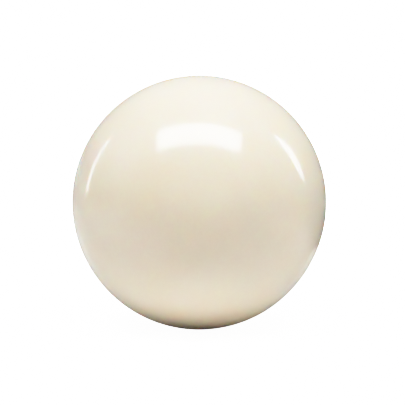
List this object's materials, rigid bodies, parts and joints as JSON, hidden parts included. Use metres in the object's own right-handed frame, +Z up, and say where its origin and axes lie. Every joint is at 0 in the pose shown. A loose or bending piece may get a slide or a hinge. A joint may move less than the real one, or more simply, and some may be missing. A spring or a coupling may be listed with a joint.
{
  "type": "cue ball",
  "caption": "Plain polished ivory ball that is struck with a cue in pool, with an iron-filled core that a ball-return table's magnet attracts.",
  "frame": {"origin": "centre of the ball", "axes": "+Z up, away from the cloth the ball rests on; X and Y are any two level directions, because the ball is alike all round"},
  "size_m": [0.0572, 0.0572, 0.0572],
  "materials": {
    "ivory_resin": "polished",
    "iron_filled_resin": "matte"
  },
  "bodies": {
    "root": {"outer_shell": "ivory_resin", "iron_filled_core": "iron_filled_resin"}
  },
  "joints": []
}
